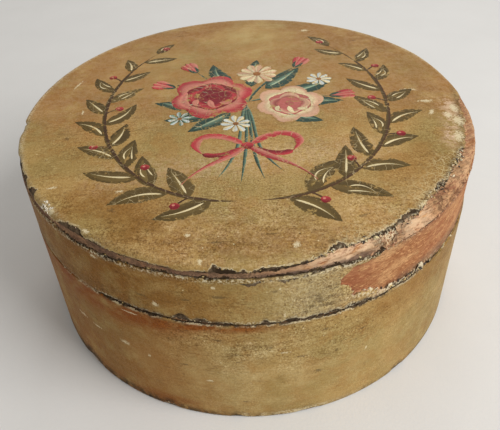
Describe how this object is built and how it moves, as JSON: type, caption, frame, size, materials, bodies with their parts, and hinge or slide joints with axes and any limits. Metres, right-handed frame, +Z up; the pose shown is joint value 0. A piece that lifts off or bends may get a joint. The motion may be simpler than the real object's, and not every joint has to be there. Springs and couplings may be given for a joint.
{
  "type": "powder box",
  "caption": "Round painted wooden powder box: bent hoops and boards, a paper-lined well with a standing collar, and a lid that lifts off the collar.",
  "frame": {"origin": "middle of the underside, on the surface that the box stands on", "axes": "+Z up along the axis of the hoops, the way the lid lifts; -Y towards the front of the picture"},
  "size_m": [0.13, 0.13, 0.0589],
  "materials": {
    "body_paint": "ochre paint over a dark ground, old satin varnish",
    "lid_paint": "ochre paint over a dark ground, old satin varnish, worn at the edges",
    "bare_wood": "bare aged wood",
    "lining_paper": "matte aged paper"
  },
  "bodies": {
    "box": {"base_board": "bare_wood", "body_hoop": "body_paint", "collar_hoop": "bare_wood", "base_lining": "lining_paper", "collar_lining": "lining_paper"},
    "lid": {"lid_hoop": "lid_paint", "lid_board": "lid_paint", "lid_lining": "lining_paper"}
  },
  "joints": [
    {"name": "lid_lift", "type": "slide", "parent": "box", "child": "lid", "axis": [0, 0, 1], "range_m": [0, 0.07]}
  ]
}
